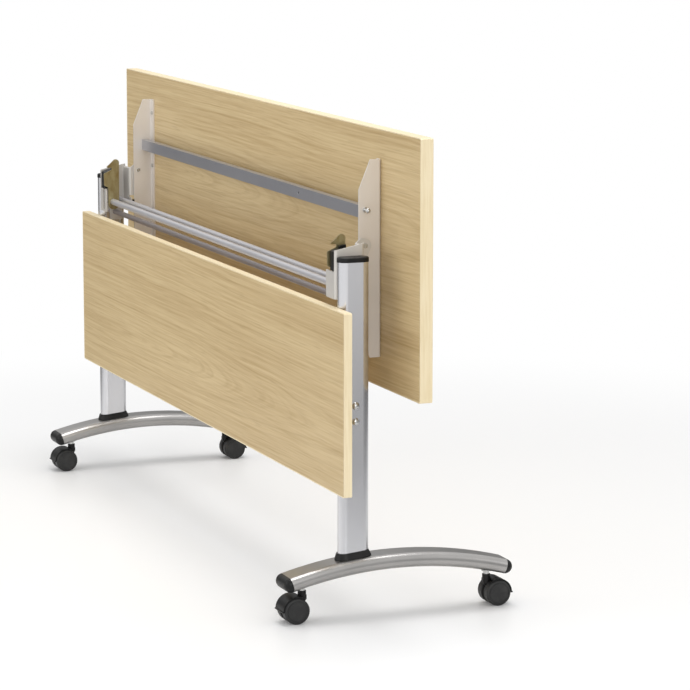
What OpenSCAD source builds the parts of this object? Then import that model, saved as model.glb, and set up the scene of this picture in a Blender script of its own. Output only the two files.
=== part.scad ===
// Flip-top folding desk on castors, drawn with its top folded upright.
// Millimetres, Z up, floor at z = 0. The worktop's length runs along X.
// The modesty panel faces -Y and the folded worktop's upper face looks to +Y.

/* [Worktop] */
// Length of the worktop
top_length = 1800; // [1400:50:2000]
// Depth of the worktop
top_depth = 490; // [420:10:560]
// Thickness of the worktop
top_thick = 25; // [18:1:30]
// Height of the lower edge of the folded worktop
top_low_z = 425; // [400:5:450]
// Thickness of the edge bands
band_thick = 2; // [1:0.5:3]

/* [Flip pivot] */
// Height of the flip pivot
pivot_z = 698; // [680:1:710]
// Distance of the pivot behind the centre line of the columns
pivot_back = 46.5; // [44:0.5:50]
// Distance from the pivot to the underside of the worktop
pivot_to_top = 35; // [32:1:40]
// Diameter of the pivot pins
pin_d = 8; // [6:1:10]

/* [Arms] */
// Distance from the column centres to the arms' inner faces
arm_inset = 65.5; // [60:0.5:80]
// Length of the arms above the pivot, folded
arm_up = 161; // [140:1:180]
// Length of the arms below the pivot, folded
arm_down = 215; // [190:1:240]
// Depth of the arms in front of the pivot
arm_front = 10.5; // [9:0.5:12]
// Thickness of the sheet steel
sheet = 3; // [2:0.5:4]

/* [Columns] */
// Distance from the worktop's ends to the column centres
column_inset = 131; // [110:1:200]
// Distance of the column centres in front of the middle of the feet
column_front = 86; // [70:1:100]
// Depth of the flat-oval column tube
column_depth = 60; // [50:1:70]
// Width of the flat-oval column tube
column_width = 30; // [25:1:40]
// Wall of the steel tubes
tube_wall = 2; // [1.5:0.5:3]
// Height of the top of the columns
column_top = 677; // [660:1:690]

/* [Feet] */
// Width of the flat-oval foot tube
foot_width = 70; // [60:1:80]
// Height of the flat-oval foot tube
foot_height = 28; // [24:1:32]
// Radius of the arched centre line of the feet
foot_radius = 817.7; // [700:0.1:1000]
// Height of the foot centre line at the top of the arch
foot_crown = 106.3; // [95:0.1:115]
// Half of the foot tube's length, measured along the floor
foot_reach = 217; // [200:1:240]

/* [Modesty panel] */
// Distance from the worktop's ends to the panel's ends
panel_inset = 56.5; // [40:0.5:120]
// Height of the panel's lower edge
panel_low = 246; // [200:1:300]
// Height of the panel's upper edge
panel_high = 592; // [500:1:592]
// Thickness of the panel
panel_thick = 16; // [12:1:19]

/* [Castors] */
// Distance from the ends of the foot tubes to the castor stems
stem_inset = 28.5; // [24:0.5:40]
// Diameter of the castor wheels
wheel_d = 50; // [40:1:50]
// Width of one castor wheel
wheel_width = 19; // [14:0.5:20]
// Distance of the wheel axle behind the stem
trail = 17; // [12:1:22]

/* [Part to draw] */
// Name of one part, or all

/* [Hidden] */
$fn = 96;
arc_fn = 720;
left = -1;
right = 1;
front = -1;
rear = 1;
eps = 0.01;

// Clearances: a snug hole, a running hole, a sliding face and a plug in a tube
snug = 0.05;
running = 0.1;
face_gap = 0.1;
plug_clear = 0.15;

// Places across the desk, measured from its middle
column_x = top_length / 2 - column_inset;
arm_x = column_x - arm_inset;
panel_width = top_length - 2 * panel_inset;

// Folded worktop, measured from the pivot
board_low = top_low_z - pivot_z;
corner_r = 4;

// Arms, measured from the pivot
arm_out = arm_x + sheet;
arm_foot_width = 18;
arm_taper = [23, 57];
arm_screw_x = arm_x - 7.5;
arm_screw_z = [-190, -90, 10, 130];
bend_in = 2;

// Brace bar between the arms, measured from the pivot
bar_y = 16;
bar_z = 58;
bar_depth = 14;
bar_height = 24;
bar_hole_x = 327;
bar_hole_d = 5;

// Striker studs on the outer faces of the arms, measured from the pivot
striker_y = 2.8;
striker_z = 66.5;
striker_neck_d = 6;
striker_head_d = 10;
striker_foot = 1.5;
striker_neck_end = arm_out + 14.5;
striker_head_height = 4;

// Arm bushes and pivot pins
bush_d = 10;
bush_flange_d = 16;
ear_x = arm_out + 2;
ear_out = ear_x + sheet;

// Head brackets: y is measured from the column centre line
web_out = column_x - column_width / 2;
web_in = web_out - sheet;
web_front = -30;
web_rear = 29;
web_low = 605;
tongue_front = -7;
tongue_rear = 22;
tongue_low = 581;
web_front_top = 696.5;
web_rear_top = 709;
flange_front_x = arm_x + 3.5;
flange_front_top = 656;
slot_reach = 49;
slot_width = 13;
flange_slot = [column_x - slot_reach, column_x - slot_reach + slot_width];
flange_slot_low = 608;
flange_rear_low = 618;
flange_rear_top = 702;
ear_low = 640;
ear_foot_y = 36;
ear_r = 13;
ear_top = pivot_z + ear_r;
ear_shoulder = 8;
ear_lean = 23;
tab_x = arm_x - 5.5;
tab_top = 636;

// Fold buffers on the rear flange
buffer_x = arm_x + 1.5;
buffer_z = 627;
buffer_d = 9;
buffer_neck_d = 5;
buffer_gap = 0.3;

// Cross tubes: [y from the column centre line, z]
release_at = [-10.5, 626];
rear_beam_at = [15, 627];
lower_beam_at = [5, 599];
release_d = 14;
rear_beam_d = 14;
lower_beam_d = 12;
light_wall = 1.5;

// Latch hooks: [y, z] points are measured from the release tube
hook_x = arm_out + 9.8;
hook_out = hook_x + sheet;
hook_lobe_at = [1.5, -4.5];
hook_lobe_r = 12.8;
hook_dome_at = [7, 89];
hook_dome_r = 8;
hook_outline = [
    [-11.1, -4.5], [-11.1, 32.5], [-20.6, 38], [-21.4, 63.5], [-19.9, 66.2], [-13.6, 76],
    [-13.4, 81.5], [-8.4, 85.2], [-2, 91.2], [2.9, 95.7], [14.8, 89], [14.1, -4.5]
];
mouth_seat = [-6, 75.2];
mouth_seat_r = 3.2;
mouth_lean = 23.6;
mouth_depth = 20;
swage_d = 8;
swage_bore = 5;

// Latch rest blocks: [y, z] points are measured from the columns' centre line and the floor
rest_x = hook_out + 3.2;
rest_low = 657;
rest_body = [[-27.5, rest_low], [3, rest_low], [3, 698], [-12, 697.3], [-21, 694.9], [-27.5, 692.8]];
rest_lug_width = 7.5;
rest_lug = [[-12, 690], [1.5, 690], [1.5, 704.3], [-10, 702.9], [-12, 701]];
peg_d = 6;
peg_at = [[-19, 666], [-4, 682]];

// Latch springs
spring_wire = 1.6;
spring_r = 6.2;
spring_turns = 6;
spring_start = hook_out + 0.3 + spring_wire / 2;
spring_end = web_in - 0.3 - spring_wire / 2;

// Arc centre of the feet
arc_z = foot_crown - foot_radius;
foot_top_r = foot_radius + foot_height / 2;
foot_half_angle = asin(foot_reach / foot_radius);
column_angle = asin(column_front / foot_top_r);
foot_at_column = arc_z + foot_top_r * cos(column_angle);
stem_y = foot_reach - stem_inset;
foot_at_stem = arc_z + sqrt(foot_radius * foot_radius - stem_y * stem_y);
base_thick = 6;

// Column caps and collars
cap_height = 9;
cap_over = 1;
cap_round = 3;
cap_skirt = 12;
cap_skirt_in = 2 * (tube_wall + plug_clear);
collar_wall = 1.5;
collar_flare = 4.5;
collar_height = 12;
collar_rim = 1;

// Bolts
bolt_d = 8;
bolt_z = [377, 407];
bolt_head_d = 15;
bolt_head_height = 5;
nut_flats = 13;
nut_height = 6.5;
foot_bolt_step = 14;
foot_head_d = 13;
foot_head_height = 8;
foot_access_d = 16;

// Modesty brackets, y measured from the column centre line
panel_gap = 0.2;
panel_back = -column_depth / 2 - panel_gap;
tie_low = 357;
tie_high = 427;
tie_reach = 54;
tie_x = column_x - tie_reach;
tie_rear = 12;
tie_screw_reach = 39;
tie_screw_x = column_x - tie_screw_reach;
tie_screw_z = [372, 412];

// Wood screws
wood_screw_d = 4;
wood_screw_head = 8;
wood_head_height = 2.4;
wood_screw_depth = 14;

// Foot plugs and stem sockets
plug_rim = 1;
plug_depth = 12;
socket_d = 16;
socket_flange_d = 19;
socket_drop = 18.3;
socket_rise = 7.7;
socket_low = foot_at_stem - socket_drop;
socket_flange = 1.6;
socket_top = foot_at_stem + socket_rise;

// Castors: x across, y towards the trailing side, z up from the floor
stem_d = 11;
stem_top = socket_top - 2;
stem_low = 44;
boss_d = 16;
boss_top = 60;
axle_d = 8;
castor_web = 9;
wheel_r = wheel_d / 2;
wheel_in = castor_web / 2 + 1;
wheel_out = wheel_in + wheel_width;
wheel_round = 4;
canopy_r = wheel_r + 2.8;
canopy_thick = 2;
canopy_half = 22;
canopy_end = 122;
lip = 1.6;

// Extrudes an outline drawn in (y, z) along X
module plate_x(x0, x1) {
    translate([x0, 0, 0])
        rotate([90, 0, 90])
            linear_extrude(x1 - x0)
                children();
}

// A round bar along X
module rod_x(x0, x1, d) {
    translate([x0, 0, 0])
        rotate([0, 90, 0])
            cylinder(d = d, h = x1 - x0);
}

// A round bar along Y
module rod_y(y0, y1, d) {
    translate([0, y0, 0])
        rotate([-90, 0, 0])
            cylinder(d = d, h = y1 - y0);
}

// A tube along X, open at both ends
module tube_x(half, d, wall) {
    difference() {
        rod_x(-half, half, d);
        rod_x(-half - 1, half + 1, d - 2 * wall);
    }
}

// A 2-D flat-oval outline with its long way along x
module flat_oval(length, width) {
    square([length - width, width], center = true);
    for (s = [-1, 1])
        translate([s * (length - width) / 2, 0])
            circle(d = width);
}

// A solid with a flat-oval plan, long way along Y, from the right half of its section
module flat_oval_solid(length, width) {
    spread = length - width;
    for (s = [-1, 1])
        translate([0, s * spread / 2, 0])
            rotate_extrude()
                children();
    rotate([90, 0, 0])
        linear_extrude(spread, center = true) {
            children();
            mirror([1, 0])
                children();
        }
}

// A 2-D rectangle with rounded corners
module rounded_rectangle(w, h, r) {
    square([w - 2 * r, h], center = true);
    square([w, h - 2 * r], center = true);
    for (i = [-1, 1], j = [-1, 1])
        translate([i * (w / 2 - r), j * (h / 2 - r)])
            circle(r = r);
}

// A quarter ring of sheet that joins two straight lengths in plan
module sheet_bend(turn) {
    rotate(turn)
        intersection() {
            difference() {
                circle(r = bend_in + sheet);
                circle(r = bend_in);
            }
            square(bend_in + sheet);
        }
}

// Places a part on the left (-1) or right (1) side of the desk
module on_side(side) {
    if (side == left)
        mirror([1, 0, 0])
            children();
    else
        children();
}

// Places parts on both sides
module both_sides() {
    for (side = [left, right])
        on_side(side)
            children();
}

// Moves the origin to the columns' centre line
module at_columns() {
    translate([0, -column_front, 0])
        children();
}

// Moves the origin to the flip pivot
module at_pivot() {
    translate([0, pivot_back - column_front, pivot_z])
        children();
}

// Moves the origin to a cross tube
module at_tube(place) {
    translate([0, place[0] - column_front, place[1]])
        children();
}

// Turns about the arc centre of the feet so that local Z points outwards at this y
module at_arc(y, radius) {
    translate([0, 0, arc_z])
        rotate([-asin(y / radius), 0, 0])
            translate([0, 0, radius])
                children();
}

// A cylinder about the arc centre of the feet, used to shape what stands on them
module arc_cylinder(r, half) {
    translate([0, 0, arc_z])
        rod_x(-half, half, 2 * r, $fn = arc_fn);
}

// A 2-D hexagon from its width across the flats
module hexagon(flats) {
    polygon([for (i = [0 : 5]) flats / 2 / cos(30) * [cos(60 * i), sin(60 * i)]]);
}

// A domed head along +X with its flat face at x = 0
module dome_head(d, height) {
    dome_r = (d * d / 4 + height * height) / (2 * height);
    rotate([0, 90, 0])
        rotate_extrude()
            intersection() {
                translate([0, height - dome_r])
                    circle(r = dome_r);
                square([d / 2, height]);
            }
}

// A wood screw along +Y with its head's seat at y = 0
module wood_screw(d, depth) {
    rod_y(0, depth, d);
    difference() {
        translate([0, -wood_head_height, 0])
            rod_y(0, wood_head_height, wood_screw_head);
        for (a = [0, 90])
            rotate([0, a, 0])
                translate([-2.2, -wood_head_height - eps, -0.45])
                    cube([4.4, 1.2, 0.9]);
    }
}

// The worktop board and its band

module worktop_outline(inset) {
    translate([0, board_low + top_depth / 2])
        rounded_rectangle(top_length - 2 * inset, top_depth - 2 * inset, corner_r - inset);
}

// Stands an outline drawn in (x, z) up as a board, from y0 towards +Y
module board_y(y0, thick) {
    translate([0, y0 + thick, 0])
        rotate([90, 0, 0])
            linear_extrude(thick)
                children();
}

module worktop() {
    color([0.80, 0.70, 0.53])
        at_pivot()
            difference() {
                board_y(pivot_to_top, top_thick)
                    worktop_outline(band_thick);
                both_sides()
                    for (z = arm_screw_z)
                        translate([arm_screw_x, pivot_to_top - 1, z])
                            rod_y(0, wood_screw_depth + 2, wood_screw_d + snug);
            }
}

module worktop_edge_band() {
    color([0.94, 0.87, 0.72])
        at_pivot()
            board_y(pivot_to_top, top_thick)
                difference() {
                    worktop_outline(0);
                    worktop_outline(band_thick);
                }
}

// The arms and what is fixed to them

module arm_side() {
    polygon([
        [pivot_to_top, arm_up],
        [arm_taper[0] - arm_front, arm_up],
        [-arm_front, arm_up - arm_taper[1]],
        [-arm_front, arm_taper[1] - arm_down],
        [arm_taper[0] - arm_front, -arm_down],
        [pivot_to_top, -arm_down]
    ]);
}

module arm_plan() {
    foot_end = arm_out - arm_foot_width;
    bend_x = arm_x - bend_in;
    bend_y = pivot_to_top - sheet - bend_in;
    translate([arm_x, -arm_front])
        square([sheet, bend_y + arm_front]);
    translate([foot_end, pivot_to_top - sheet])
        square([bend_x - foot_end, sheet]);
    translate([bend_x, bend_y])
        sheet_bend(0);
}

module arm() {
    difference() {
        intersection() {
            translate([0, 0, -arm_down])
                linear_extrude(arm_down + arm_up)
                    arm_plan();
            plate_x(arm_x - 30, arm_x + 30)
                arm_side();
        }
        rod_x(arm_x - 1, arm_out + 1, bush_d + snug);
        for (z = arm_screw_z)
            translate([arm_screw_x, pivot_to_top - sheet - 1, z])
                rod_y(0, sheet + 2, wood_screw_d + snug);
    }
}

module arm_left() {
    color([0.78, 0.75, 0.71])
        at_pivot()
            on_side(left)
                arm();
}

module arm_right() {
    color([0.78, 0.75, 0.71])
        at_pivot()
            on_side(right)
                arm();
}

module arm_screws() {
    color([0.62, 0.62, 0.60])
        at_pivot()
            both_sides()
                for (z = arm_screw_z)
                    translate([arm_screw_x, pivot_to_top - sheet, z])
                        wood_screw(wood_screw_d, wood_screw_depth + sheet);
}

module brace_bar() {
    color([0.48, 0.48, 0.50])
        at_pivot()
            translate([0, bar_y, bar_z])
                difference() {
                    cube([2 * arm_x, bar_depth, bar_height], center = true);
                    cube([2 * arm_x + 2, bar_depth - 2 * tube_wall, bar_height - 2 * tube_wall], center = true);
                    translate([bar_hole_x, -bar_depth, 0])
                        rod_y(0, bar_depth, bar_hole_d);
                }
}

// Studs welded to the arms, each with a foot, a neck for the hook and a domed head
module strikers() {
    color([0.70, 0.70, 0.68])
        at_pivot()
            both_sides()
                translate([0, striker_y, striker_z]) {
                    rod_x(arm_out, arm_out + striker_foot, striker_head_d);
                    rod_x(arm_out, striker_neck_end + eps, striker_neck_d);
                    translate([striker_neck_end, 0, 0])
                        dome_head(striker_head_d, striker_head_height);
                }
}

module arm_bushes() {
    color([0.92, 0.91, 0.88])
        at_pivot()
            both_sides()
                difference() {
                    union() {
                        rod_x(arm_x, arm_out + eps, bush_d);
                        rod_x(arm_out, ear_x - face_gap, bush_flange_d);
                    }
                    rod_x(arm_x - 1, ear_x + 1, pin_d + running);
                }
}

module pivot_pins() {
    head_d = pin_d + 2;
    color([0.62, 0.62, 0.61])
        at_pivot()
            both_sides() {
                rod_x(arm_x - 1, ear_out + eps, pin_d);
                rod_x(ear_out, ear_out + 3.5, head_d);
            }
}

// The head brackets and what is fixed in them

module bracket_web_plan() {
    bend_x = web_in - bend_in;
    translate([web_in, web_front + sheet + bend_in])
        square([sheet, web_rear - web_front - 2 * (sheet + bend_in)]);
    translate([bend_x, web_front + sheet + bend_in])
        sheet_bend(-90);
    translate([bend_x, web_rear - sheet - bend_in])
        sheet_bend(0);
}

module bracket_web_side() {
    polygon([
        [tongue_front, tongue_low],
        [tongue_rear, tongue_low],
        [tongue_rear, web_low],
        [web_rear, web_low],
        [web_rear, web_rear_top],
        [web_front, web_front_top],
        [web_front, web_low],
        [tongue_front, web_low]
    ]);
}

// Only the left bracket's front flange has the slot
module bracket_front_flange(slotted) {
    bend_x = web_in - bend_in;
    translate([flange_front_x, web_front, web_low])
        difference() {
            cube([bend_x - flange_front_x, sheet, flange_front_top - web_low]);
            if (slotted)
                translate([flange_slot[0] - flange_front_x, -1, flange_slot_low - web_low])
                    cube([flange_slot[1] - flange_slot[0], sheet + 2, flange_front_top]);
        }
}

module bracket_ear_plan() {
    bend_x = web_in - bend_in;
    ear_bend_x = ear_out + bend_in;
    translate([ear_bend_x, web_rear - sheet])
        square([bend_x - ear_bend_x, sheet]);
    translate([ear_bend_x, web_rear + bend_in])
        sheet_bend(180);
    translate([ear_x, web_rear + bend_in])
        square([sheet, pivot_back + ear_r - web_rear]);
}

module bracket_ear_side() {
    flange_front = web_rear - sheet;
    polygon([
        [flange_front, ear_low],
        [ear_foot_y, ear_low],
        [pivot_back + ear_r * cos(ear_lean), pivot_z - ear_r * sin(ear_lean)],
        [pivot_back, ear_top],
        [pivot_back - ear_shoulder, ear_top],
        [flange_front, flange_rear_top]
    ]);
    translate([pivot_back, pivot_z])
        circle(r = ear_r);
}

module bracket_rear_flange_foot() {
    bend_x = web_in - bend_in;
    flange_front = web_rear - sheet;
    translate([ear_out + bend_in, flange_front, flange_rear_low])
        cube([bend_x - ear_out - bend_in, sheet, ear_low - flange_rear_low]);
    translate([tab_x, flange_front, flange_rear_low])
        cube([ear_out + bend_in - tab_x, sheet, tab_top - flange_rear_low]);
}

module head_bracket(slotted) {
    difference() {
        union() {
            intersection() {
                translate([0, 0, tongue_low])
                    linear_extrude(web_rear_top - tongue_low)
                        bracket_web_plan();
                plate_x(web_in - 20, web_out + 5)
                    bracket_web_side();
            }
            bracket_front_flange(slotted);
            intersection() {
                translate([0, 0, ear_low])
                    linear_extrude(ear_top - ear_low)
                        bracket_ear_plan();
                plate_x(ear_x - 5, web_out)
                    bracket_ear_side();
            }
            bracket_rear_flange_foot();
        }
        translate([0, pivot_back, pivot_z])
            rod_x(ear_x - 1, ear_out + 1, pin_d + snug);
        translate([0, release_at[0], release_at[1]])
            rod_x(web_in - 1, web_out + 1, swage_d + running);
        for (p = peg_at)
            translate([0, p[0], p[1]])
                rod_x(web_in - 1, web_out + 1, peg_d + snug);
        translate([buffer_x, web_rear - sheet - 1, buffer_z])
            rod_y(0, sheet + 2, buffer_neck_d + snug);
    }
}

module head_bracket_left() {
    color([0.72, 0.71, 0.72])
        at_columns()
            on_side(left)
                head_bracket(true);
}

module head_bracket_right() {
    color([0.72, 0.71, 0.72])
        at_columns()
            on_side(right)
                head_bracket(false);
}

module latch_rest() {
    plate_x(rest_x, web_in - bend_in)
        polygon(rest_body);
    plate_x(web_in - bend_in - eps, web_in)
        intersection() {
            polygon(rest_body);
            translate([web_front + sheet + bend_in, rest_low])
                square(web_rear_top - rest_low);
        }
    plate_x(rest_x, rest_x + rest_lug_width)
        polygon(rest_lug);
    for (p = peg_at)
        translate([0, p[0], p[1]])
            rod_x(web_in - 1, web_out - 0.1, peg_d);
}

module latch_rest_left() {
    color([0.12, 0.12, 0.12])
        at_columns()
            on_side(left)
                latch_rest();
}

module latch_rest_right() {
    color([0.12, 0.12, 0.12])
        at_columns()
            on_side(right)
                latch_rest();
}

// The hook's mouth in (y, z): level above, leaning down to the front below
module hook_mouth() {
    lip = mouth_seat + mouth_seat_r * [sin(mouth_lean), -cos(mouth_lean)];
    polygon([
        mouth_seat + [0, mouth_seat_r],
        mouth_seat + [-mouth_depth, mouth_seat_r],
        lip - mouth_depth * [cos(mouth_lean), sin(mouth_lean)],
        lip
    ]);
}

// A latch hook in its closed place
module latch_hook() {
    at_tube(release_at)
        difference() {
            union() {
                plate_x(hook_x, hook_out)
                    polygon(hook_outline);
                translate([0, hook_lobe_at[0], hook_lobe_at[1]])
                    rod_x(hook_x, hook_out, 2 * hook_lobe_r);
                translate([0, hook_dome_at[0], hook_dome_at[1]])
                    rod_x(hook_x, hook_out, 2 * hook_dome_r);
            }
            rod_x(hook_x - 1, hook_out + 1, swage_d + snug);
            translate([0, mouth_seat[0], mouth_seat[1]])
                rod_x(hook_x - 1, hook_out + 1, 2 * mouth_seat_r);
            plate_x(hook_x - 1, hook_out + 1)
                hook_mouth();
        }
}

module latch_hook_left() {
    color([0.62, 0.54, 0.30])
        on_side(left)
            latch_hook();
}

module latch_hook_right() {
    color([0.62, 0.54, 0.30])
        on_side(right)
            latch_hook();
}

module release_tube() {
    end_x = web_out - 0.4;
    color([0.72, 0.72, 0.73])
        at_tube(release_at)
            difference() {
                union() {
                    rod_x(-hook_x, hook_x, release_d);
                    rod_x(-end_x, end_x, swage_d);
                }
                rod_x(-hook_x + 3, hook_x - 3, release_d - 2 * light_wall);
                rod_x(-end_x - 1, end_x + 1, swage_bore);
            }
}

module rear_beam() {
    color([0.72, 0.72, 0.73])
        at_tube(rear_beam_at)
            tube_x(web_in, rear_beam_d, light_wall);
}

module lower_beam() {
    color([0.66, 0.66, 0.67])
        at_tube(lower_beam_at)
            tube_x(web_in, lower_beam_d, light_wall);
}

// Points of one ring of the coil's tube, at angle a along the coil
function coil_ring(a, pitch) = [
    for (k = [0 : 5])
        let (w = spring_wire / 2, t = 60 * k, r = spring_r + w * cos(t))
            [spring_start + pitch * a / 360 + w * sin(t), r * cos(a), r * sin(a)]
];

// The coil as one unbroken tube, 6 sides and 8 rings to a turn
module coil() {
    rings = spring_turns * 8;
    pitch = (spring_end - spring_start) / spring_turns;
    echo(least_gap_between_coils = pitch - spring_wire);
    points = [for (i = [0 : rings], p = coil_ring(45 * i, pitch)) p];
    sides = [
        for (i = [0 : rings - 1], k = [0 : 5], half = [0, 1])
            let (a = 6 * i + k, b = 6 * i + (k + 1) % 6)
                half == 0 ? [a, b, b + 6] : [a, b + 6, a + 6]
    ];
    ends = [
        [for (k = [5 : -1 : 0]) k],
        [for (k = [0 : 5]) 6 * rings + k]
    ];
    polyhedron(points = points, faces = concat(sides, ends), convexity = 10);
}

module latch_springs() {
    color([0.45, 0.45, 0.46])
        at_tube(release_at)
            both_sides()
                coil();
}

module fold_buffers() {
    tab_front = web_rear - sheet;
    arm_edge = pivot_back - arm_front;
    color([0.10, 0.10, 0.10])
        at_columns()
            both_sides()
                translate([buffer_x, 0, buffer_z]) {
                    rod_y(web_rear, arm_edge - buffer_gap, buffer_d);
                    rod_y(tab_front - eps, web_rear + eps, buffer_neck_d);
                    rod_y(tab_front - 2, tab_front, buffer_neck_d + 2);
                }
}

// The columns and what is fixed to them

// Moves the origin to each foot bolt's axis, on the foot's upper face, with Z along the bolt
module at_foot_bolts() {
    for (s = [-1, 1])
        at_arc(s * foot_bolt_step - column_front, foot_top_r)
            translate([column_x, 0, 0])
                children();
}

module column_outline(grow) {
    translate([column_x, -column_front])
        rotate(90)
            flat_oval(column_depth + 2 * grow, column_width + 2 * grow);
}

module column() {
    difference() {
        union() {
            difference() {
                linear_extrude(column_top)
                    column_outline(0);
                translate([0, 0, -1])
                    linear_extrude(column_top + 2)
                        column_outline(-tube_wall);
            }
            intersection() {
                linear_extrude(column_top / 2)
                    column_outline(-tube_wall / 2);
                arc_cylinder(foot_top_r + base_thick, column_x + column_width);
            }
        }
        arc_cylinder(foot_top_r + eps, column_x + column_width);
        at_foot_bolts()
            translate([0, 0, -1])
                cylinder(d = bolt_d + snug, h = 4 * base_thick);
        at_columns()
            for (z = bolt_z)
                translate([0, 0, z])
                    rod_x(column_x - column_width, column_x + column_width, bolt_d + snug);
    }
}

module column_left() {
    color([0.69, 0.69, 0.70])
        on_side(left)
            column();
}

module column_right() {
    color([0.69, 0.69, 0.70])
        on_side(right)
            column();
}

module column_cap() {
    half = column_width / 2 + cap_over;
    translate([column_x, -column_front, column_top]) {
        difference() {
            flat_oval_solid(column_depth + 2 * cap_over, column_width + 2 * cap_over) {
                square([half, cap_height - cap_round]);
                square([half - cap_round, cap_height]);
                translate([half - cap_round, cap_height - cap_round])
                    intersection() {
                        circle(r = cap_round);
                        square(cap_round);
                    }
            }
            translate([-column_width, -column_depth, -1])
                cube([column_width / 2, 2 * column_depth, cap_height + 2]);
        }
        translate([0, 0, -cap_skirt])
            linear_extrude(cap_skirt + 1)
                rotate(90)
                    difference() {
                        flat_oval(column_depth - cap_skirt_in, column_width - cap_skirt_in);
                        flat_oval(column_depth - cap_skirt_in - 4, column_width - cap_skirt_in - 4);
                    }
    }
}

module column_cap_left() {
    color([0.11, 0.11, 0.11])
        on_side(left)
            column_cap();
}

module column_cap_right() {
    color([0.11, 0.11, 0.11])
        on_side(right)
            column_cap();
}

module column_collar() {
    top_half = column_width / 2 + collar_wall;
    low_half = top_half + collar_flare;
    sink = 5;
    difference() {
        translate([column_x, -column_front, foot_at_column])
            rotate([column_angle, 0, 0])
                flat_oval_solid(column_depth + 2 * collar_wall, column_width + 2 * collar_wall)
                    polygon([
                        [0, -sink],
                        [low_half, -sink],
                        [low_half, collar_rim],
                        [top_half, collar_height],
                        [0, collar_height]
                    ]);
        linear_extrude(column_top)
            column_outline(face_gap);
        arc_cylinder(foot_top_r + 2 * eps, column_x + column_depth);
    }
}

module column_collar_left() {
    color([0.11, 0.11, 0.11])
        on_side(left)
            column_collar();
}

module column_collar_right() {
    color([0.11, 0.11, 0.11])
        on_side(right)
            column_collar();
}

module column_bolts() {
    color([0.30, 0.30, 0.31])
        at_columns()
            both_sides()
                for (z = bolt_z)
                    translate([0, 0, z]) {
                        rod_x(web_in - nut_height - 3, column_x + column_width / 2 + eps, bolt_d);
                        translate([column_x + column_width / 2, 0, 0])
                            dome_head(bolt_head_d, bolt_head_height);
                    }
}

module column_nuts() {
    color([0.62, 0.62, 0.60])
        at_columns()
            both_sides()
                for (z = bolt_z)
                    translate([0, 0, z])
                        difference() {
                            plate_x(web_in - nut_height, web_in)
                                hexagon(nut_flats);
                            rod_x(web_in - nut_height - 1, web_in + 1, bolt_d + snug);
                        }
}

// The modesty panel

module panel_outline(inset) {
    translate([0, (panel_low + panel_high) / 2])
        rounded_rectangle(panel_width - 2 * inset, panel_high - panel_low - 2 * inset, corner_r - inset);
}

module modesty_panel() {
    color([0.80, 0.70, 0.53])
        at_columns()
            difference() {
                board_y(panel_back - panel_thick, panel_thick)
                    panel_outline(band_thick);
                both_sides()
                    for (z = tie_screw_z)
                        translate([tie_screw_x, panel_back - wood_screw_depth + 3, z])
                            rod_y(0, wood_screw_depth, wood_screw_d + snug);
            }
}

module modesty_edge_band() {
    color([0.94, 0.87, 0.72])
        at_columns()
            board_y(panel_back - panel_thick, panel_thick)
                difference() {
                    panel_outline(0);
                    panel_outline(band_thick);
                }
}

module modesty_bracket() {
    bend_x = web_in - bend_in;
    bend_y = panel_back + sheet + bend_in;
    difference() {
        translate([0, 0, tie_low])
            linear_extrude(tie_high - tie_low) {
                translate([web_in, bend_y])
                    square([sheet, tie_rear - bend_y]);
                translate([tie_x, panel_back])
                    square([bend_x - tie_x, sheet]);
                translate([bend_x, bend_y])
                    sheet_bend(-90);
            }
        for (z = bolt_z)
            translate([0, 0, z])
                rod_x(web_in - 1, web_out + 1, bolt_d + snug);
        for (z = tie_screw_z)
            translate([tie_screw_x, panel_back - 1, z])
                rod_y(0, sheet + 2, wood_screw_d + snug);
    }
}

module modesty_bracket_left() {
    color([0.66, 0.66, 0.67])
        at_columns()
            on_side(left)
                modesty_bracket();
}

module modesty_bracket_right() {
    color([0.66, 0.66, 0.67])
        at_columns()
            on_side(right)
                modesty_bracket();
}

module modesty_screws() {
    color([0.62, 0.62, 0.60])
        at_columns()
            both_sides()
                for (z = tie_screw_z)
                    translate([tie_screw_x, panel_back + sheet, z])
                        rotate([0, 0, 180])
                            wood_screw(wood_screw_d, wood_screw_depth - 1);
}

// The feet and what is fixed in them

module foot_shell() {
    translate([column_x, 0, arc_z])
        rotate([0, 90, 0])
            rotate([0, 0, 180 - foot_half_angle])
                rotate_extrude(angle = 2 * foot_half_angle, $fn = arc_fn)
                    translate([foot_radius, 0])
                        rotate(90)
                            difference() {
                                flat_oval(foot_width, foot_height);
                                flat_oval(foot_width - 2 * tube_wall, foot_height - 2 * tube_wall);
                            }
}

module foot() {
    difference() {
        foot_shell();
        for (y = [-stem_y, stem_y])
            translate([column_x, y, socket_low - 10])
                cylinder(d = socket_d + snug, h = 24);
        at_foot_bolts() {
            translate([0, 0, -foot_height / 2])
                cylinder(d = bolt_d + snug, h = foot_height);
            translate([0, 0, -1.5 * foot_height])
                cylinder(d = foot_access_d, h = foot_height);
        }
    }
}

module foot_left() {
    color([0.69, 0.69, 0.70])
        on_side(left)
            foot();
}

module foot_right() {
    color([0.69, 0.69, 0.70])
        on_side(right)
            foot();
}

// A domed end plug: z = 0 is the tube's centre line and +Y points out of the tube
module foot_plug() {
    r = foot_height / 2;
    spread = foot_width / 2 - r;
    intersection() {
        translate([0, plug_rim, 0]) {
            rod_x(-spread, spread, 2 * r);
            for (s = [-1, 1])
                translate([s * spread, 0, 0])
                    sphere(r = r);
        }
        translate([-foot_width, 0, -foot_height])
            cube([2 * foot_width, 2 * foot_width, 2 * foot_height]);
    }
    rotate([90, 0, 0])
        linear_extrude(plug_depth)
            flat_oval(foot_width - 2 * (tube_wall + plug_clear), foot_height - 2 * (tube_wall + plug_clear));
}

module foot_plugs() {
    color([0.11, 0.11, 0.11])
        both_sides()
            for (end = [0, 1])
                mirror([0, end, 0])
                    at_arc(foot_reach, foot_radius)
                        translate([column_x, 0, 0])
                            foot_plug();
}

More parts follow.
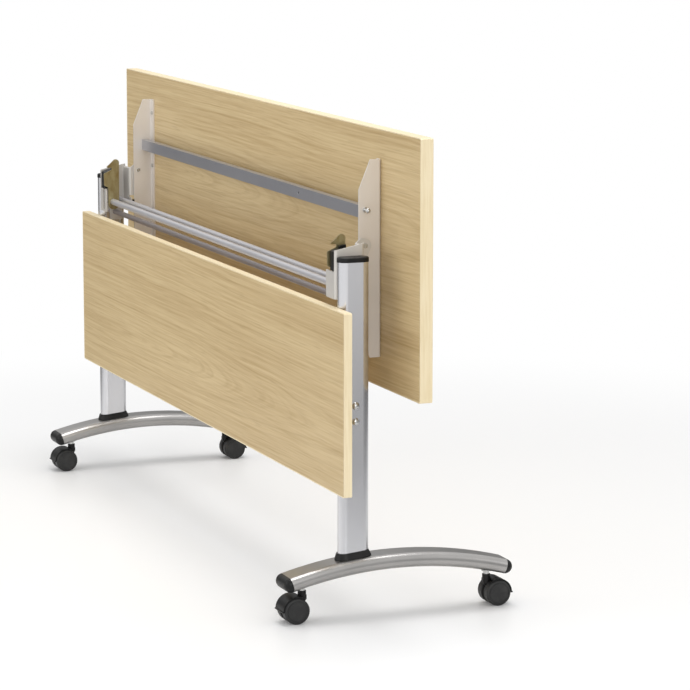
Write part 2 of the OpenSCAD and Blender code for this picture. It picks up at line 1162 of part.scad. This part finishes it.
module stem_sockets() {
    color([0.75, 0.75, 0.74])
        both_sides()
            for (y = [-stem_y, stem_y])
                translate([column_x, y, 0])
                    difference() {
                        union() {
                            translate([0, 0, socket_low])
                                cylinder(d = socket_flange_d, h = socket_flange);
                            translate([0, 0, socket_low])
                                cylinder(d = socket_d, h = socket_top - socket_low);
                        }
                        translate([0, 0, socket_low - 1])
                            cylinder(d = stem_d + running, h = socket_top);
                    }
}

module foot_bolts() {
    color([0.30, 0.30, 0.31])
        both_sides()
            at_foot_bolts()
                translate([0, 0, -tube_wall - 3 * eps]) {
                    translate([0, 0, -eps])
                        cylinder(d = bolt_d, h = base_thick + 6);
                    translate([0, 0, -foot_head_height])
                        difference() {
                            cylinder(d = foot_head_d, h = foot_head_height);
                            translate([0, 0, -1])
                                linear_extrude(5)
                                    hexagon(6);
                        }
                }
}

// The castors

// Moves the origin to the floor under a stem, with +Y towards the trailing side
module at_stem(side, end) {
    translate([side * column_x, end * stem_y, 0])
        rotate([0, 0, end == front ? 180 : 0])
            children();
}

module castor_stem() {
    color([0.75, 0.75, 0.74])
        translate([0, 0, stem_low])
            cylinder(d = stem_d, h = stem_top - stem_low);
}

module castor_axle() {
    color([0.62, 0.62, 0.61])
        translate([0, trail, wheel_r])
            rod_x(-wheel_out + 4, wheel_out - 4, axle_d);
}

// The hood's side outline: the web between the wheels
module hood_web_side() {
    polygon([
        [-boss_d / 2, boss_top - 8],
        [-boss_d / 2, stem_low],
        [trail - 8, wheel_r - 4],
        [trail + 8, wheel_r - 4],
        [trail + canopy_r - 1, wheel_r],
        [trail + 1, wheel_r + canopy_r - 1],
        [boss_d / 2, boss_top - 8]
    ]);
    translate([trail, wheel_r])
        intersection() {
            circle(r = canopy_r);
            square(canopy_r);
        }
}

module hood_canopy() {
    turn = canopy_end;
    translate([0, trail, wheel_r])
        rotate([90, 0, 90])
            translate([0, 0, -canopy_half])
                linear_extrude(2 * canopy_half)
                    intersection() {
                        difference() {
                            circle(r = canopy_r);
                            circle(r = canopy_r - canopy_thick);
                        }
                        polygon([
                            [0, 0],
                            [2 * canopy_r, 0],
                            [2 * canopy_r, 2 * canopy_r],
                            2 * canopy_r * [cos(turn), sin(turn)]
                        ]);
                    }
    translate([-canopy_half, trail + canopy_r - canopy_thick, wheel_r - 1])
        cube([2 * canopy_half, canopy_thick + lip, canopy_thick]);
}

module castor_hood() {
    color([0.11, 0.11, 0.11])
        difference() {
            union() {
                plate_x(-castor_web / 2, castor_web / 2)
                    hood_web_side();
                hood_canopy();
                translate([0, 0, stem_low - 2])
                    cylinder(d = boss_d, h = boss_top - stem_low + 2);
            }
            translate([0, 0, stem_low])
                cylinder(d = stem_d + snug, h = boss_top);
            translate([0, trail, wheel_r])
                rod_x(-castor_web, castor_web, axle_d + snug);
            for (s = [0, 1])
                mirror([s, 0, 0])
                    translate([castor_web / 2, trail, wheel_r])
                        rod_x(0, wheel_width, 2 * (canopy_r - canopy_thick));
        }
}

// One wheel with its outer face towards +X, drawn about the castor's middle plane
module wheel_shape() {
    groove_r = wheel_r - 6;
    groove = 1;
    bore_end = wheel_width - 3.5;
    translate([wheel_in, 0, 0])
        rotate([0, 90, 0])
            rotate_extrude()
                difference() {
                    union() {
                        square([wheel_r - wheel_round, wheel_width]);
                        translate([0, wheel_round / 2])
                            square([wheel_r, wheel_width - 1.5 * wheel_round]);
                        translate([wheel_r - wheel_round, wheel_width - wheel_round])
                            circle(r = wheel_round);
                        translate([wheel_r - wheel_round / 2, wheel_round / 2])
                            circle(r = wheel_round / 2);
                        translate([wheel_r - wheel_round - eps, 0])
                            square([wheel_round / 2 + eps, wheel_round / 2]);
                    }
                    translate([groove_r, wheel_width - groove])
                        square([groove, 2 * groove]);
                    translate([-1, -1])
                        square([axle_d / 2 + running / 2 + 1, bore_end + 1]);
                }
}

module castor_wheel(side, end, face) {
    color([0.16, 0.16, 0.16])
        translate([side * column_x, end * (stem_y + trail), wheel_r])
            rotate([0, 0, side * face < 0 ? 180 : 0])
                wheel_shape();
}

module castor_front_left_stem() { at_stem(left, front) castor_stem(); }
module castor_front_left_hood() { at_stem(left, front) castor_hood(); }
module castor_front_left_axle() { at_stem(left, front) castor_axle(); }
module castor_front_left_wheel_inner() { castor_wheel(left, front, -1); }
module castor_front_left_wheel_outer() { castor_wheel(left, front, 1); }
module castor_front_right_stem() { at_stem(right, front) castor_stem(); }
module castor_front_right_hood() { at_stem(right, front) castor_hood(); }
module castor_front_right_axle() { at_stem(right, front) castor_axle(); }
module castor_front_right_wheel_inner() { castor_wheel(right, front, -1); }
module castor_front_right_wheel_outer() { castor_wheel(right, front, 1); }
module castor_rear_left_stem() { at_stem(left, rear) castor_stem(); }
module castor_rear_left_hood() { at_stem(left, rear) castor_hood(); }
module castor_rear_left_axle() { at_stem(left, rear) castor_axle(); }
module castor_rear_left_wheel_inner() { castor_wheel(left, rear, -1); }
module castor_rear_left_wheel_outer() { castor_wheel(left, rear, 1); }
module castor_rear_right_stem() { at_stem(right, rear) castor_stem(); }
module castor_rear_right_hood() { at_stem(right, rear) castor_hood(); }
module castor_rear_right_axle() { at_stem(right, rear) castor_axle(); }
module castor_rear_right_wheel_inner() { castor_wheel(right, rear, -1); }
module castor_rear_right_wheel_outer() { castor_wheel(right, rear, 1); }

worktop();
worktop_edge_band();
arm_left();
arm_right();
arm_screws();
brace_bar();
strikers();
arm_bushes();
pivot_pins();
head_bracket_left();
head_bracket_right();
latch_rest_left();
latch_rest_right();
latch_hook_left();
latch_hook_right();
release_tube();
latch_springs();
rear_beam();
lower_beam();
fold_buffers();
column_left();
column_right();
column_cap_left();
column_cap_right();
column_collar_left();
column_collar_right();
column_bolts();
column_nuts();
modesty_panel();
modesty_edge_band();
modesty_bracket_left();
modesty_bracket_right();
modesty_screws();
foot_left();
foot_right();
foot_plugs();
stem_sockets();
foot_bolts();
castor_front_left_stem();
castor_front_left_hood();
castor_front_left_axle();
castor_front_left_wheel_inner();
castor_front_left_wheel_outer();
castor_front_right_stem();
castor_front_right_hood();
castor_front_right_axle();
castor_front_right_wheel_inner();
castor_front_right_wheel_outer();
castor_rear_left_stem();
castor_rear_left_hood();
castor_rear_left_axle();
castor_rear_left_wheel_inner();
castor_rear_left_wheel_outer();
castor_rear_right_stem();
castor_rear_right_hood();
castor_rear_right_axle();
castor_rear_right_wheel_inner();
castor_rear_right_wheel_outer();
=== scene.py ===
import math

import bpy
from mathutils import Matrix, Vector

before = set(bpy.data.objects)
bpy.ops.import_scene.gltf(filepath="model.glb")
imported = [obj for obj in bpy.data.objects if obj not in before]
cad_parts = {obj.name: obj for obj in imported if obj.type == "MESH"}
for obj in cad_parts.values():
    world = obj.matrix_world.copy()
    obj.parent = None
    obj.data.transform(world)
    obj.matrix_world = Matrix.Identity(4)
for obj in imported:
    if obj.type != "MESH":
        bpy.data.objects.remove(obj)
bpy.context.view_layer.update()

MM = 0.001
MICRON = 0.000001
WHITE = (1, 1, 1, 1)


# Camera: the photograph's viewing angle

CAMERA_AT = (6.26557, -2.22132, 1.48308)
CAMERA_YAW = math.radians(21.088)
CAMERA_PITCH = math.radians(9.2745)
CAMERA_LENS = 167.21
CAMERA_SENSOR = 36.0
CAMERA_REACH = 60


def add_camera():
    """Looks along the desk from its right end, a little down."""
    data = bpy.data.cameras.new("camera")
    data.lens = CAMERA_LENS
    data.sensor_width = CAMERA_SENSOR
    data.clip_end = CAMERA_REACH
    camera = bpy.data.objects.new("camera", data)
    bpy.context.scene.collection.objects.link(camera)
    forward = Vector((
        -math.cos(CAMERA_YAW) * math.cos(CAMERA_PITCH),
        math.sin(CAMERA_YAW) * math.cos(CAMERA_PITCH),
        -math.sin(CAMERA_PITCH),
    ))
    camera.location = CAMERA_AT
    camera.rotation_euler = forward.to_track_quat("-Z", "Y").to_euler()
    bpy.context.scene.camera = camera


# Helpers that the materials and the world share

MAP_SOCKETS = ("Value", "From Min", "From Max", "To Min", "To Max")


def feed(tree, socket, value):
    """Joins a socket to another node's output, or sets it to a plain value."""
    if isinstance(value, bpy.types.NodeSocket):
        tree.links.new(value, socket)
    else:
        socket.default_value = value


def map_range(tree, value, low, high, to_low, to_high, shape="LINEAR"):
    """value mapped from low..high to to_low..to_high, clamped. SMOOTHSTEP has a soft start and end."""
    node = tree.nodes.new("ShaderNodeMapRange")
    node.interpolation_type = shape
    for name, number in zip(MAP_SOCKETS, (value, low, high, to_low, to_high)):
        feed(tree, node.inputs[name], number)
    return node.outputs["Result"]


def srgb(r, g, b):
    """A colour as picked from 0 to 255, turned into Blender's linear values."""
    def linear(v):
        v = v / 255
        return v / 12.92 if v <= 0.04045 else ((v + 0.055) / 1.055) ** 2.4
    return (linear(r), linear(g), linear(b), 1)


def even(cells):
    """The same number of noise cells per metre along X, Y and Z."""
    return (cells, cells, cells)


# Materials: each one is a small node tree in the object's own coordinates

# A colour mix node's sockets go by number, because its number and vector sockets have the same names.
MIX_SHARE = 0
MIX_FIRST = 6
MIX_SECOND = 7
MIX_RESULT = 2


class Finish:
    """One material and the nodes that feed its shader."""

    def __init__(self, name, rough, metallic=0.0, specular=0.5):
        self.material = bpy.data.materials.new(name)
        self.material.use_nodes = True
        self.tree = self.material.node_tree
        self.shader = self.tree.nodes["Principled BSDF"]
        self.shader.inputs["Roughness"].default_value = rough
        self.shader.inputs["Metallic"].default_value = metallic
        self.shader.inputs["Specular IOR Level"].default_value = specular
        self.place = self.add("ShaderNodeTexCoord").outputs["Object"]

    def add(self, kind, **inputs):
        """A new node, with its inputs set to values or joined to other nodes' outputs."""
        node = self.tree.nodes.new(kind)
        for name, value in inputs.items():
            feed(self.tree, node.inputs[name], value)
        return node

    def noise(self, scale, detail=2.0, rough=0.5, shift=(0, 0, 0), place=None):
        """Noise from 0 to 1. scale is its cells per metre along X, Y and Z."""
        if place is None:
            place = self.place
        stretched = self.add("ShaderNodeMapping", Vector=place, Scale=scale, Location=shift).outputs[0]
        node = self.add("ShaderNodeTexNoise", Vector=stretched, Scale=1.0, Detail=detail, Roughness=rough)
        return node.outputs["Fac"]

    def spread(self, value, low, high, to_low=0.0, to_high=1.0):
        """value mapped from low..high to to_low..to_high, clamped."""
        return map_range(self.tree, value, low, high, to_low, to_high)

    def maths(self, operation, a, b=0.0):
        """One operation on a, or on a and b."""
        node = self.add("ShaderNodeMath")
        node.operation = operation
        feed(self.tree, node.inputs[0], a)
        feed(self.tree, node.inputs[1], b)
        return node.outputs[0]

    def blend(self, share, a, b):
        """Colour a where share is 0, colour b where it is 1."""
        node = self.add("ShaderNodeMix")
        node.data_type = "RGBA"
        feed(self.tree, node.inputs[MIX_SHARE], share)
        feed(self.tree, node.inputs[MIX_FIRST], a)
        feed(self.tree, node.inputs[MIX_SECOND], b)
        return node.outputs[MIX_RESULT]

    def colour(self, value):
        """Sends a colour to the shader."""
        feed(self.tree, self.shader.inputs["Base Color"], value)

    def roughness(self, value):
        """Sends a roughness to the shader."""
        feed(self.tree, self.shader.inputs["Roughness"], value)

    def relief(self, height, depth, edge=0.0):
        """Bump of the given depth in metres, over edges softened to a small radius."""
        bump = self.add("ShaderNodeBump", Height=height, Strength=1.0, Distance=depth)
        if edge:
            soft = self.add("ShaderNodeBevel", Radius=edge)
            soft.samples = 4
            feed(self.tree, bump.inputs["Normal"], soft.outputs[0])
        feed(self.tree, self.shader.inputs["Normal"], bump.outputs[0])


WOOD_LIGHT = srgb(214, 191, 146)
WOOD_DARK = srgb(176, 147, 100)
WOOD_PORE = srgb(158, 129, 86)
HEART_SWAY = 14 * MM
HEART_RIPPLE = 2 * MM
HEART_DEPTH = 30 * MM
HEART_SLOPE = 0.05
FIBRE_SHARE = 0.34


def ring_place(finish, heart, shift):
    """Each point's place along the board, and its distance from a heart line that wanders."""
    at = finish.add("ShaderNodeSeparateXYZ", Vector=finish.place).outputs
    sway = finish.noise((0.9, 1.0, 2.0), shift=shift)
    sway = finish.spread(sway, 0.25, 0.75, -HEART_SWAY, HEART_SWAY)
    ripple = finish.noise((4.0, 1.0, 16.0), shift=shift)
    ripple = finish.spread(ripple, 0.25, 0.75, -HEART_RIPPLE, HEART_RIPPLE)
    height = finish.maths("ADD", finish.maths("SUBTRACT", at["Z"], heart), sway)
    slope = finish.maths("MULTIPLY", at["X"], HEART_SLOPE)
    depth = finish.maths("ADD", finish.maths("ADD", slope, HEART_DEPTH), sway)
    height_squared = finish.maths("MULTIPLY", height, height)
    depth_squared = finish.maths("MULTIPLY", depth, depth)
    distance = finish.maths("SQRT", finish.maths("ADD", height_squared, depth_squared))
    radius = finish.maths("ADD", distance, ripple)
    return finish.add("ShaderNodeCombineXYZ", X=at["X"], Y=radius, Z=0.0).outputs[0]


def wood(name, heart, shift):
    """Pale laminate: flat-sawn rings about a heart line at one height, fine fibres and pores, all along X."""
    finish = Finish(name, rough=0.42, specular=0.35)
    place = ring_place(finish, heart, shift)

    def rings(along, across, low, high, most):
        """Darker rings: their cells per metre along the board and across it, and how dark they get."""
        return finish.spread(finish.noise((along, across, 1.0), place=place), low, high, to_high=most)

    broad = rings(0.4, 14.0, 0.45, 0.72, most=0.38)
    narrow = rings(1.0, 110.0, 0.46, 0.72, most=0.26)
    fine = rings(2.0, 300.0, 0.48, 0.70, most=0.30)
    fibre = finish.spread(finish.noise((5.0, 300.0, 260.0), detail=3.0), 0.36, 0.70, to_high=FIBRE_SHARE)
    share = finish.maths("ADD", finish.maths("ADD", broad, narrow), finish.maths("ADD", fine, fibre))
    tone = finish.blend(share, WOOD_LIGHT, WOOD_DARK)
    pores = finish.spread(finish.noise((12.0, 500.0, 380.0), detail=1.0), 0.58, 0.76, to_high=0.32)
    finish.colour(finish.blend(pores, tone, WOOD_PORE))
    finish.roughness(finish.spread(fibre, 0.0, FIBRE_SHARE, to_low=0.40, to_high=0.50))
    finish.relief(fibre, 40 * MICRON, edge=0.6 * MM)
    return finish.material


BAND_LIGHT = srgb(243, 228, 194)
BAND_DARK = srgb(228, 208, 166)
BAND_STREAK = 0.55
BAND_CLOUD = 0.35


def edge_band():
    """Cream plastic edging with a faint printed grain along its length."""
    finish = Finish("edge_band", rough=0.38, specular=0.45)
    streak = finish.spread(finish.noise((14.0, 260.0, 14.0), detail=3.0), 0.35, 0.7, to_high=BAND_STREAK)
    cloud = finish.spread(finish.noise(even(5.0)), 0.3, 0.7, to_high=BAND_CLOUD)
    finish.colour(finish.blend(finish.maths("ADD", streak, cloud), BAND_LIGHT, BAND_DARK))
    finish.roughness(finish.spread(streak, 0.0, BAND_STREAK, to_low=0.34, to_high=0.44))
    finish.relief(streak, 30 * MICRON, edge=0.8 * MM)
    return finish.material


PAINT_DULLED = 0.05


def paint(name, light, dark, rough, metallic, edge=0.8 * MM):
    """Metallic powder coat: fine orange peel, a little colour drift and scuffs that dull the sheen."""
    finish = Finish(name, rough=rough, metallic=metallic)
    peel = finish.noise(even(900.0))
    drift = finish.spread(finish.noise((3.0, 9.0, 4.0), detail=3.0), 0.3, 0.7)
    scuff = finish.spread(finish.noise((40.0, 40.0, 8.0), detail=5.0, rough=0.7), 0.55, 0.75)
    finish.colour(finish.blend(drift, light, dark))
    finish.roughness(finish.spread(scuff, 0.0, 1.0, to_low=rough, to_high=rough + PAINT_DULLED))
    finish.relief(peel, 2 * MICRON, edge=edge)
    return finish.material


PLATED_METALLIC = 0.9
PLATED_SMOOTHED = 0.06
PLATED_DULLED = 0.10


def plated(name, light, dark, rough):
    """Rolled and plated sheet or turned steel: faint brushed streaks and a mottled passivation."""
    finish = Finish(name, rough=rough, metallic=PLATED_METALLIC)
    streak = finish.noise((500.0, 500.0, 25.0), detail=3.0)
    mottle = finish.spread(finish.noise((60.0, 60.0, 30.0), detail=4.0, rough=0.6), 0.35, 0.68)
    finish.colour(finish.blend(mottle, light, dark))
    finish.roughness(finish.spread(streak, 0.3, 0.7, rough - PLATED_SMOOTHED, rough + PLATED_DULLED))
    finish.relief(streak, 20 * MICRON, edge=0.4 * MM)
    return finish.material


MOULDED_DULLED = 0.15


def moulded(name, light, dark, rough):
    """Moulded nylon or rubber: a fine spark-eroded grain and slight wear."""
    finish = Finish(name, rough=rough, specular=0.25)
    grain = finish.noise(even(1500.0))
    wear = finish.spread(finish.noise(even(45.0), detail=4.0, rough=0.65), 0.45, 0.72)
    finish.colour(finish.blend(wear, light, dark))
    finish.roughness(finish.spread(wear, 0.0, 1.0, to_low=rough, to_high=rough + MOULDED_DULLED))
    finish.relief(grain, 30 * MICRON, edge=0.6 * MM)
    return finish.material


# Which piece gets which material


def dress(material, *nodes):
    """Gives CAD nodes their finish."""
    for name in nodes:
        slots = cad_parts[name].data.materials
        slots.clear()
        slots.append(material)


def both(*stems):
    """The left and right names of each stem."""
    return [f"{stem}_{side}" for stem in stems for side in ("left", "right")]


def castors(part):
    """The names of one part of all four castors."""
    return [f"castor_{end}_{side}_{part}" for end in ("front", "rear") for side in ("left", "right")]


def dress_boards():
    """The two boards and the bands round their edges."""
    dress(wood("worktop_wood", 0.72, (3.1, 0.0, 0.4)), "worktop")
    dress(wood("panel_wood", 0.36, (0.4, 0.0, 1.3)), "modesty_panel")
    dress(edge_band(), "worktop_edge_band", "modesty_edge_band")


def dress_painted_steel():
    """Painted steel: the frame, the latch's tube, and the arms and bar under the top."""
    silver = paint("silver_paint", srgb(216, 216, 219), srgb(203, 203, 206), rough=0.20, metallic=0.9)
    dress(silver, *both("column", "modesty_bracket"))
    foot = paint("foot_paint", srgb(174, 172, 170), srgb(160, 158, 156), rough=0.28, metallic=0.85)
    dress(foot, *both("foot"))
    tube = paint("tube_paint", srgb(196, 195, 199), srgb(184, 183, 187), rough=0.36, metallic=0.45, edge=0.0)
    dress(tube, "release_tube", "rear_beam")
    # The lower beam has the tubes' paint, made darker and browner as painted shade for the shadow the tubes
    # above cast on it.
    shaded_tube_paint = paint("tube_paint_painted_shade", srgb(160, 153, 154), srgb(146, 139, 140), rough=0.36, metallic=0.45, edge=0.0)
    dress(shaded_tube_paint, "lower_beam")
    bracket = paint("bracket_paint", srgb(214, 210, 204), srgb(201, 197, 191), rough=0.36, metallic=0.3)
    dress(bracket, *both("head_bracket"))
    arm = paint("arm_paint", srgb(226, 220, 213), srgb(216, 209, 201), rough=0.40, metallic=0.25)
    dress(arm, *both("arm"))
    bar = paint("bar_paint", srgb(176, 176, 181), srgb(160, 160, 166), rough=0.30, metallic=0.6,
                edge=1.5 * MM)
    dress(bar, "brace_bar")


def dress_plated_steel():
    """Plated steel: the hooks, the springs, the fasteners and the small turned pieces."""
    yellow = plated("yellow_zinc", srgb(172, 164, 128), srgb(142, 126, 86), rough=0.36)
    dress(yellow, *both("latch_hook"))
    bright = plated("bright_zinc", srgb(205, 205, 203), srgb(180, 180, 180), rough=0.26)
    dress(bright, "arm_screws", "strikers", "pivot_pins", "column_bolts", "column_nuts", "modesty_screws",
          "stem_sockets", *castors("stem"), *castors("axle"))
    dark = plated("dark_zinc", srgb(120, 120, 122), srgb(84, 84, 86), rough=0.34)
    dress(dark, "foot_bolts", "latch_springs")


def dress_plastics():
    """The nylon and rubber pieces."""
    black = moulded("black_nylon", srgb(18, 18, 18), srgb(30, 29, 28), rough=0.38)
    dress(black, "foot_plugs", *both("column_cap", "column_collar", "latch_rest"), *castors("hood"))
    wheel = moulded("wheel_nylon", srgb(46, 46, 46), srgb(60, 60, 59), rough=0.45)
    dress(wheel, *castors("wheel_inner"), *castors("wheel_outer"))
    white = moulded("white_nylon", srgb(228, 226, 220), srgb(214, 211, 204), rough=0.42)
    dress(white, "arm_bushes")
    rubber = moulded("buffer_rubber", srgb(30, 30, 30), srgb(46, 45, 44), rough=0.7)
    dress(rubber, "fold_buffers")


# Floor, world and lamps

FLOOR_HALF = 30.0
FLOOR_TONE = 0.86
FLOOR_GLOW = 0.06
SWEEP_START = 0.9
SWEEP_END = 2.4
WORLD_LIGHT = 0.74

# What reflections see: dark on one side of the studio, white on the other and overhead.
BRIGHT_SIDE = (0.6, -0.8, 0.5)
DARK_TONE = 0.16
FLOOR_DARK_UNTIL = -0.4
FLOOR_WHITE_FROM = 3.4
AIR_DARK_UNTIL = -0.3
AIR_WHITE_FROM = 0.95
OVERHEAD_DARK_UNTIL = 0.18
OVERHEAD_WHITE_FROM = 0.44


def bright_side(tree, place):
    """How far a place lies towards the bright side of the studio: in front and to the right."""
    dot = tree.nodes.new("ShaderNodeVectorMath")
    dot.operation = "DOT_PRODUCT"
    feed(tree, dot.inputs[0], place)
    feed(tree, dot.inputs[1], BRIGHT_SIDE)
    return dot.outputs["Value"]


def ramp(tree, value, low, high, to_low=0.0):
    """value mapped from low..high to to_low..1 with a soft start and end."""
    return map_range(tree, value, low, high, to_low, 1.0, shape="SMOOTHSTEP")


def floor_material():
    """A pale floor with the desk's shadow that sweeps into a white backdrop further off."""
    finish = Finish("floor", rough=0.3, specular=0.3)
    finish.colour((FLOOR_TONE, FLOOR_TONE, FLOOR_TONE, 1))
    tree = finish.tree
    rays = finish.add("ShaderNodeLightPath").outputs
    far = finish.add("ShaderNodeVectorMath")
    far.operation = "LENGTH"
    feed(tree, far.inputs[0], finish.place)
    sweep = ramp(tree, far.outputs["Value"], SWEEP_START, SWEEP_END)
    mirrored = ramp(tree, bright_side(tree, finish.place), FLOOR_DARK_UNTIL, FLOOR_WHITE_FROM, DARK_TONE)
    glow = finish.maths("MULTIPLY", rays["Is Camera Ray"], FLOOR_GLOW)
    glow = finish.add("ShaderNodeEmission", Color=WHITE, Strength=glow)
    near = finish.add("ShaderNodeAddShader")
    feed(tree, near.inputs[0], finish.shader.outputs[0])
    feed(tree, near.inputs[1], glow.outputs[0])
    backdrop = finish.maths("MAXIMUM", rays["Is Camera Ray"], mirrored)
    backdrop = finish.add("ShaderNodeEmission", Color=WHITE, Strength=backdrop)
    seen = finish.maths("MAXIMUM", rays["Is Camera Ray"], rays["Is Glossy Ray"])
    mix = finish.add("ShaderNodeMixShader", Fac=finish.maths("MULTIPLY", seen, sweep))
    feed(tree, mix.inputs[1], near.outputs[0])
    feed(tree, mix.inputs[2], backdrop.outputs[0])
    feed(tree, tree.nodes["Material Output"].inputs["Surface"], mix.outputs[0])
    return finish.material


def add_floor():
    """A wide flat floor under the castors."""
    mesh = bpy.data.meshes.new("floor")
    h = FLOOR_HALF
    mesh.from_pydata([(-h, -h, 0), (h, -h, 0), (h, h, 0), (-h, h, 0)], [], [(0, 1, 2, 3)])
    floor = bpy.data.objects.new("floor", mesh)
    bpy.context.scene.collection.objects.link(floor)
    mesh.materials.append(floor_material())


def mirror_tone(tree):
    """How bright the air is in reflections, by the direction that they look in."""
    around = tree.nodes.new("ShaderNodeTexCoord").outputs["Generated"]
    height = tree.nodes.new("ShaderNodeSeparateXYZ")
    feed(tree, height.inputs[0], around)
    brighter = tree.nodes.new("ShaderNodeMath")
    brighter.operation = "MAXIMUM"
    side = ramp(tree, bright_side(tree, around), AIR_DARK_UNTIL, AIR_WHITE_FROM, DARK_TONE)
    overhead = ramp(tree, height.outputs["Z"], OVERHEAD_DARK_UNTIL, OVERHEAD_WHITE_FROM, DARK_TONE)
    feed(tree, brighter.inputs[0], side)
    feed(tree, brighter.inputs[1], overhead)
    return brighter.outputs[0]


def add_world():
    """Studio air: white where it is seen, one side brighter in reflections, soft as a light."""
    world = bpy.data.worlds.new("studio")
    bpy.context.scene.world = world
    world.use_nodes = True
    tree = world.node_tree
    tree.nodes.clear()
    rays = tree.nodes.new("ShaderNodeLightPath").outputs

    def air(strength):
        """White air of one strength."""
        shader = tree.nodes.new("ShaderNodeBackground")
        feed(tree, shader.inputs["Color"], WHITE)
        feed(tree, shader.inputs["Strength"], strength)
        return shader.outputs[0]

    result = air(WORLD_LIGHT)
    mirrored = air(mirror_tone(tree))
    seen = air(1.0)
    layers = (("Is Glossy Ray", mirrored), ("Is Transmission Ray", seen), ("Is Camera Ray", seen))
    for ray, shader in layers:
        mix = tree.nodes.new("ShaderNodeMixShader")
        feed(tree, mix.inputs[0], rays[ray])
        feed(tree, mix.inputs[1], result)
        feed(tree, mix.inputs[2], shader)
        result = mix.outputs[0]
    feed(tree, tree.nodes.new("ShaderNodeOutputWorld").inputs[0], result)


LAMPS_AIM = (0, 0, 0.5)


def add_lamp(name, at, size, power):
    """A soft square lamp, aimed at the middle of the desk."""
    data = bpy.data.lights.new(name, "AREA")
    data.shape = "SQUARE"
    data.size = size
    data.energy = power
    lamp = bpy.data.objects.new(name, data)
    lamp.location = at
    lamp.rotation_euler = (Vector(LAMPS_AIM) - Vector(at)).to_track_quat("-Z", "Y").to_euler()
    bpy.context.scene.collection.objects.link(lamp)


def add_lamps():
    """One lamp in front of the desk, one off its right end, the strongest above and a weak one behind."""
    add_lamp("key", (-0.4, -3.9, 2.0), size=2.0, power=24)
    add_lamp("end", (4.8, -1.0, 2.0), size=1.8, power=36)
    add_lamp("top", (0.1, 0.2, 4.0), size=2.2, power=80)
    add_lamp("fill", (3.0, 3.6, 2.0), size=2.0, power=10)


add_camera()
dress_boards()
dress_painted_steel()
dress_plated_steel()
dress_plastics()
add_floor()
add_world()
add_lamps()

bpy.context.scene.view_settings.view_transform = "Standard"
